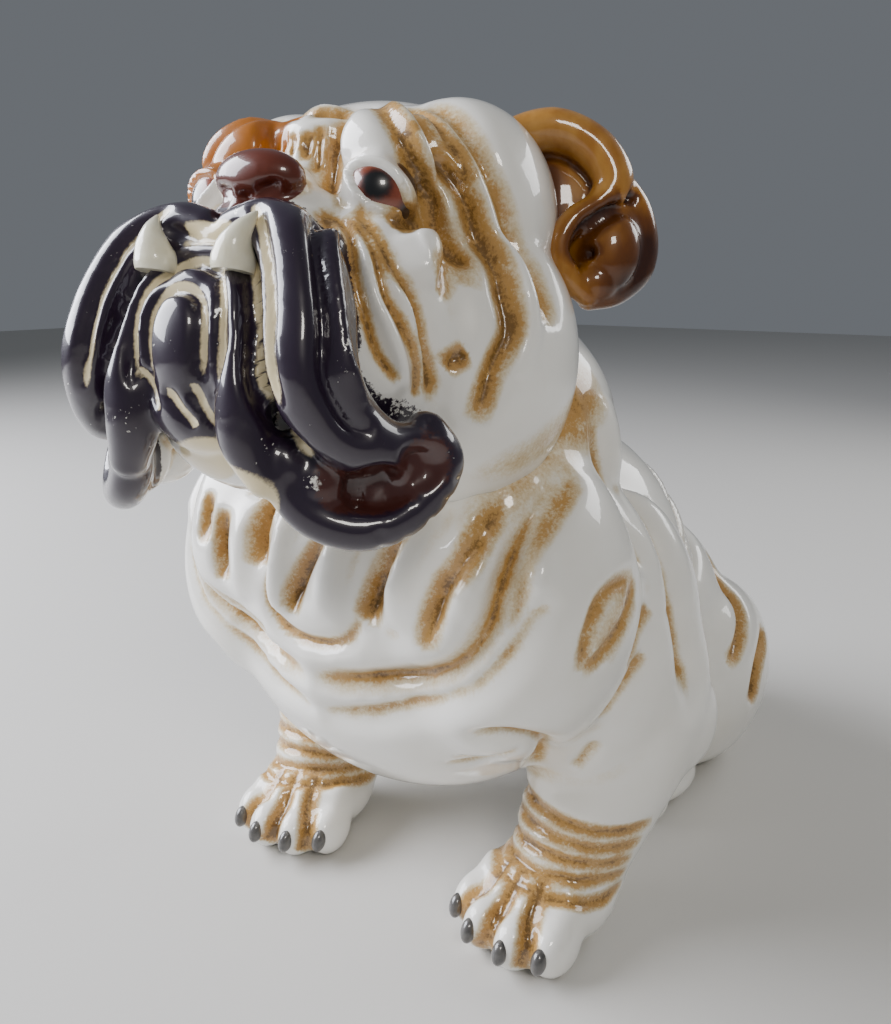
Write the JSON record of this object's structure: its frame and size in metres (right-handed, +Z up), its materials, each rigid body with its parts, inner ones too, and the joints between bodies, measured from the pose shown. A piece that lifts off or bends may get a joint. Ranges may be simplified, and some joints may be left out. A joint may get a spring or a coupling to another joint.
{
  "type": "ceramic dog figurine",
  "caption": "Sitting bulldog figurine in glazed hand-painted earthenware: hollow body and head castings with luted legs, ears, tail and tusks.",
  "frame": {"origin": "on the table, under the middle of the figurine's overall width and depth", "axes": "+Z up, the dog faces -Y, its left side is +X"},
  "size_m": [0.2206, 0.3886, 0.3254],
  "materials": {
    "white_glaze": "glossy clear glaze over white slip, brown oxide wiped into the folds",
    "amber_glaze": "glossy amber brown glaze, darker in the hollows",
    "tooth_glaze": "glossy ivory glaze",
    "eye_glaze": "glossy painted eye, red-brown iris and black pupil"
  },
  "bodies": {
    "root": {"body_casting": "white_glaze", "head_casting": "white_glaze", "foreleg_left": "white_glaze", "foreleg_right": "white_glaze", "hind_foot_left": "white_glaze", "hind_foot_right": "white_glaze", "tail": "white_glaze", "ear_left": "amber_glaze", "ear_right": "amber_glaze", "eye_left": "eye_glaze", "eye_right": "eye_glaze", "tusk_left": "tooth_glaze", "tusk_right": "tooth_glaze"}
  },
  "joints": []
}
